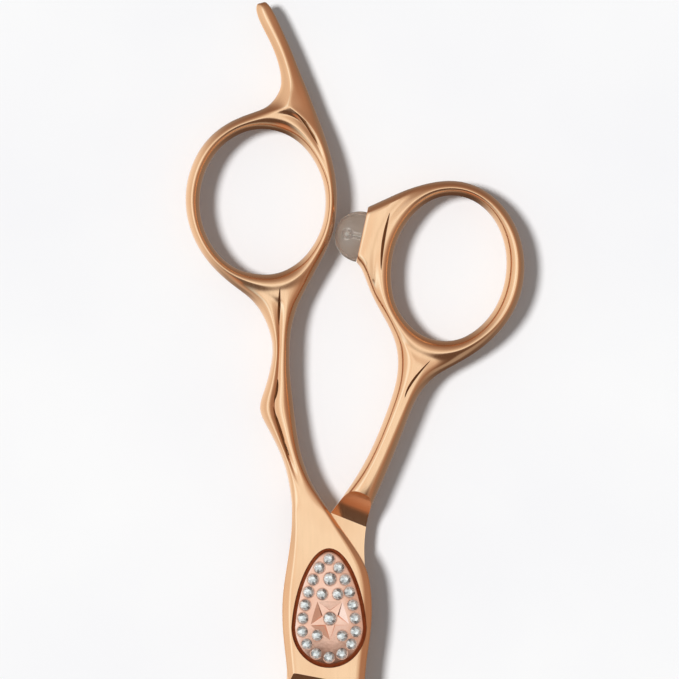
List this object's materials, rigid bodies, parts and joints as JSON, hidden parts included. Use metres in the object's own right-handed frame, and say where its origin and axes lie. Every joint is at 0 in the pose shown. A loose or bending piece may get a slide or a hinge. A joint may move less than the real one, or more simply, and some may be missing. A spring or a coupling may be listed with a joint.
{
  "type": "hair cutting shears",
  "caption": "Closed offset-handle hair cutting shears with a fixed finger rest, a bumper on the thumb ring, and an egg-shaped crystal-set cover over the pivot.",
  "frame": {"origin": "centre of the tension nut's back face, on the pivot's axis, which is the height the closed shears lie at", "axes": "+Z along the pivot's axis out of the jewelled front, +Y from the pivot towards the handles with the blades towards -Y, +X to the right seen from the front"},
  "size_m": [0.0586, 0.1707, 0.0077],
  "materials": {
    "rose_gold_steel": "mirror-polished steel with a rose gold titanium coating",
    "cover_rose_copper": "polished pinkish copper plating",
    "clear_crystal": "cut and polished, foil backed",
    "pivot_steel": "turned",
    "washer_polymer": "natural acetal",
    "clear_silicone": "translucent grey, soft"
  },
  "bodies": {
    "finger_body": {"finger_half": "rose_gold_steel", "cover_plate": "cover_rose_copper", "pivot_screw": "pivot_steel", "click_plate": "pivot_steel", "crystal_01": "clear_crystal", "crystal_02": "clear_crystal", "crystal_03": "clear_crystal", "crystal_04": "clear_crystal", "crystal_05": "clear_crystal", "crystal_06": "clear_crystal", "crystal_07": "clear_crystal", "crystal_08": "clear_crystal", "crystal_09": "clear_crystal", "crystal_10": "clear_crystal", "crystal_11": "clear_crystal", "crystal_12": "clear_crystal", "crystal_13": "clear_crystal", "crystal_14": "clear_crystal", "crystal_15": "clear_crystal", "crystal_16": "clear_crystal", "crystal_17": "clear_crystal", "crystal_18": "clear_crystal", "crystal_19": "clear_crystal", "crystal_20": "clear_crystal", "crystal_21": "clear_crystal", "crystal_22": "clear_crystal", "crystal_23": "clear_crystal", "crystal_24": "clear_crystal"},
    "thumb_body": {"thumb_half": "rose_gold_steel", "bumper": "clear_silicone", "bumper_pin": "pivot_steel", "pivot_bush": "washer_polymer", "ride_washer": "washer_polymer", "spring_washer": "pivot_steel"},
    "nut_body": {"tension_nut": "rose_gold_steel"}
  },
  "joints": [
    {"name": "blade_pivot", "type": "hinge", "parent": "finger_body", "child": "thumb_body", "pos_m": [0, 0, 0.00405], "axis": [0, 0, -1], "range_deg": [0, 120]},
    {"name": "tension_nut_turn", "type": "hinge", "parent": "finger_body", "child": "nut_body", "pos_m": [0, 0, 0.0008], "axis": [0, 0, -1], "range_deg": [-180, 180]}
  ]
}
